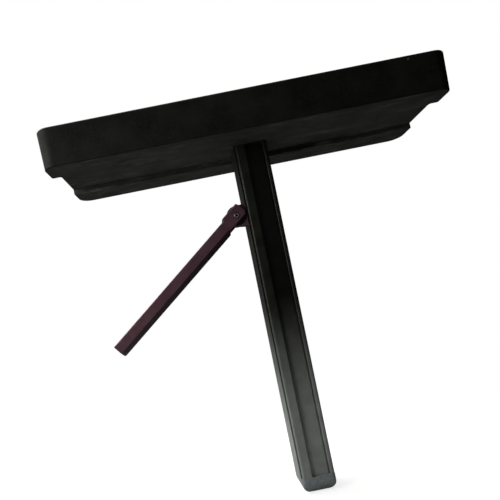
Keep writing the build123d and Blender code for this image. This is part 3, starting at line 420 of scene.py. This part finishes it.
def make_materials():
    """Every finish of the turnstile, by the record's slot name."""
    return {
        # The cover: nearly black and dull, so that only its edges and wiping marks show.
        "black_cover_plastic": moulded_abs(
            "moulded_black_abs", "#050604", "#20211c", worn="#3a3b36", streak=0.08, rough=0.66
        ),
        # The tray and rail: charcoal, and rubbed paler in long streaks.
        "grey_base_plastic": moulded_abs(
            "moulded_charcoal_abs", "#292a26", "#40413c", worn="#6b6c65", streak=0.9, rough=0.58
        ),
        # Powder coat on aluminium: satin, with a slight orange peel under the dust and painted
        # bounce light.
        "black_coated_aluminium": coated_extrusion(
            "black_powder_coated_aluminium", "#191b16", "#2a2d25", rough=0.42
        ),
        # Extruded PVC: blacker and a little shinier than the coat beside it.
        "black_strip_plastic": coated_extrusion(
            "extruded_black_pvc", "#090a08", "#141512", rough=0.36
        ),
        # Sand-cast aluminium under satin paint: a soft pale sheen over a faint orange peel.
        "grey_cast_aluminium": speckled(
            "painted_cast_aluminium", "#7c8585", "#98a2a2", PLASTIC,
            cell_mm=5.0, rough=0.5, depth_mm=0.08
        ),
        # Anodised aluminium: a satin plum with metal glinting through it.
        "plum_anodised_aluminium": anodised_plum(
            "plum_anodised_aluminium", "#65454f", "#7f5e68", rough=0.42
        ),
        # Moulded nylon cap, dyed to match the bar: duller than the metal beside it.
        "plum_plastic": speckled(
            "moulded_plum_nylon", "#4a333c", "#5f464f", PLASTIC,
            cell_mm=3.0, rough=0.5, depth_mm=0.03
        ),
        # Zinc plate on turned steel: bright, with a faint crystalline spangle.
        "bright_screw_steel": speckled(
            "zinc_plated_steel", "#b4b2ad", "#dedcd6", METAL,
            cell_mm=1.5, rough=0.26, depth_mm=0.01
        ),
        # The same plate on screws that are never wiped: greyer and less sharp in its glints.
        "inner_screw_steel": speckled(
            "dull_zinc_plated_steel", "#8b8985", "#b5b3ad", METAL,
            cell_mm=1.5, rough=0.36, depth_mm=0.01
        ),
        # Pressed steel with a thin black coat: dull, with rolled-sheet mottling.
        "bracket_steel": speckled(
            "black_coated_pressed_steel", "#26272a", "#3d3e40", PLASTIC,
            cell_mm=8.0, rough=0.48, depth_mm=0.03
        ),
        # Sintered bronze: porous, so matt and speckled.
        "bronze_bush": speckled(
            "sintered_bronze", "#8a6a3a", "#c19a5e", METAL,
            cell_mm=0.8, rough=0.45, depth_mm=0.02
        ),
        # Graphite-filled nylon: dead black and dull, so the disc reads as a dark line.
        "black_disc_nylon": speckled(
            "graphite_nylon", "#080808", "#121212", PLASTIC,
            cell_mm=2.0, rough=0.6, depth_mm=0.01
        ),
        # Glass-epoxy board under green solder mask: satin, with the copper as faint relief.
        "circuit_board": speckled(
            "green_solder_mask", "#12442c", "#1d5d3d", PLASTIC,
            cell_mm=4.0, rough=0.35, depth_mm=0.05
        ),
        # Heat-shrunk PVC sleeve: glossy, with shallow shrink marks.
        "battery_sleeve": speckled(
            "blue_shrink_sleeve", "#1e3e78", "#2c529a", PLASTIC,
            cell_mm=9.0, rough=0.22, depth_mm=0.1
        ),
        # Cast epoxy: black and nearly smooth.
        "sensor_resin": speckled(
            "black_potting_epoxy", "#1a1a1a", "#2a2a2a", PLASTIC,
            cell_mm=2.0, rough=0.35, depth_mm=0.02
        ),
        # Extruded PVC jacket: dull and black, slightly uneven in tone.
        "lead_jacket": speckled(
            "black_pvc_jacket", "#141414", "#242424", PLASTIC,
            cell_mm=2.5, rough=0.5, depth_mm=0.02
        ),
        # Nickel plate on a pressed magnet: bright, slightly warm.
        "magnet_plating": speckled(
            "nickel_plate", "#b5b0a6", "#dad6cc", METAL,
            cell_mm=1.2, rough=0.2, depth_mm=0.005
        ),
    }


def dress_nodes(materials):
    """Gives every CAD node the finish that its record slot names, apart from the pivot pin."""
    # Zinc plate tinted pink as a painted reflection of the plum around it, round a socket darkened
    # with painted shade.
    pin = speckled(
        "zinc_plate_painted_pink_with_socket_shade",
        "#b39ba1",
        "#dcc8cc",
        METAL,
        cell_mm=1.5,
        rough=0.3,
        depth_mm=0.01,
        core_mm=3.2,
    )
    for part in frame["record"]["subparts"]:
        mesh = frame["nodes"][part["node"]].data
        mesh.materials.clear()
        finish = pin if part["node"] == "pivot_pin" else materials[part["material_slot"]]
        mesh.materials.append(finish)


# ---- Camera, floor and light ----
def place_camera():
    """Halfway up the post and a little to its left, and rolled, so that the turnstile leans."""
    data = bpy.data.cameras.new("front_view")
    data.lens = LENS
    data.sensor_width = LENS
    data.shift_x, data.shift_y = CAMERA_SHIFT
    data.clip_start, data.clip_end = 0.05, 50.0
    camera = bpy.data.objects.new("front_view", data)
    bpy.context.collection.objects.link(camera)
    camera.location = CAMERA_PLACE
    camera.rotation_euler = [math.radians(angle) for angle in CAMERA_TURN]
    bpy.context.scene.camera = camera


def white_paper():
    """Uncoated paper: matt and even, and thinning out with distance. It glows for the camera alone,
    so that it looks white in a room that lights the turnstile dimly."""
    material, tree, place = new_material("matt_white_paper")
    distance = add(
        tree, "ShaderNodeVectorMath", {"operation": "LENGTH"}, {0: place}
    ).outputs["Value"]
    fade = add(
        tree,
        "ShaderNodeMapRange",
        {"interpolation_type": "SMOOTHSTEP", "From Min": FADE_START, "From Max": FADE_END},
        {"Value": distance},
    ).outputs["Result"]
    seen = add(tree, "ShaderNodeLightPath").outputs["Is Camera Ray"]
    glow = add(
        tree, "ShaderNodeMapRange", {"To Min": 0.0, "To Max": FLOOR_GLOW}, {"Value": seen}
    ).outputs["Result"]
    paper = add(
        tree,
        "ShaderNodeBsdfPrincipled",
        {"Base Color": PAPER, "Roughness": 0.8, "Emission Color": WHITE},
        {"Emission Strength": glow},
    ).outputs["BSDF"]
    clear = add(tree, "ShaderNodeBsdfTransparent").outputs["BSDF"]
    mixed = add(tree, "ShaderNodeMixShader", None, {0: fade, 1: paper, 2: clear}).outputs["Shader"]
    add(tree, "ShaderNodeOutputMaterial", None, {"Surface": mixed})
    return material


def lay_floor(paper):
    """A round floor of rings and spokes, wide enough that its edge lies where the paper is clear."""
    rings, spokes = 24, 96
    verts = [(0.0, 0.0, 0.0)]
    for ring in range(1, rings + 1):
        reach = FLOOR_RADIUS * ring / rings
        for spoke in range(spokes):
            angle = 2 * math.pi * spoke / spokes
            verts.append((reach * math.cos(angle), reach * math.sin(angle), 0.0))
    faces = [(0, 1 + spoke, 1 + (spoke + 1) % spokes) for spoke in range(spokes)]
    for ring in range(rings - 1):
        inner, outer = 1 + ring * spokes, 1 + (ring + 1) * spokes
        for spoke in range(spokes):
            after = (spoke + 1) % spokes
            faces.append((inner + spoke, outer + spoke, outer + after, inner + after))
    mesh = bpy.data.meshes.new("floor")
    mesh.from_pydata(verts, [], faces)
    mesh.materials.append(paper)
    floor = bpy.data.objects.new("floor", mesh)
    bpy.context.collection.objects.link(floor)


def area_light(name, place, aim, size, watts):
    """A soft rectangular light that faces aim and isn't itself in the picture."""
    data = bpy.data.lights.new(name, "AREA")
    data.shape = "RECTANGLE"
    data.size, data.size_y = size
    data.energy = watts
    light = bpy.data.objects.new(name, data)
    light.location = place
    light.rotation_mode = "QUATERNION"
    light.rotation_quaternion = (Vector(aim) - Vector(place)).to_track_quat("-Z", "Y")
    light.visible_camera = False
    bpy.context.collection.objects.link(light)


def light_room():
    """A surround that looks white, but lights the turnstile dimly and more from the left."""
    world = bpy.data.worlds.new("pale_room")
    bpy.context.scene.world = world
    world.use_nodes = True
    tree = world.node_tree
    tree.nodes.clear()
    direction = add(tree, "ShaderNodeTexCoord").outputs["Generated"]
    side = add(tree, "ShaderNodeSeparateXYZ", None, {"Vector": direction}).outputs["X"]
    room = add(
        tree,
        "ShaderNodeMapRange",
        {"From Min": 0.6, "From Max": -1.0, "To Min": ROOM_DIM, "To Max": ROOM_BRIGHT},
        {"Value": side},
    ).outputs["Result"]
    seen = add(tree, "ShaderNodeLightPath").outputs["Is Camera Ray"]
    strength = add(
        tree, "ShaderNodeMix", {"data_type": "FLOAT", "B": 1.0}, {"Factor": seen, "A": room}
    ).outputs["Result"]
    back = add(
        tree, "ShaderNodeBackground", {"Color": WHITE}, {"Strength": strength}
    ).outputs["Background"]
    add(tree, "ShaderNodeOutputWorld", None, {"Surface": back})
    for light in LIGHTS:
        area_light(*light)
    bpy.context.scene.view_settings.view_transform = "Standard"
    bpy.context.scene.view_settings.look = "None"


dress_nodes(make_materials())
place_camera()
lay_floor(white_paper())
light_room()
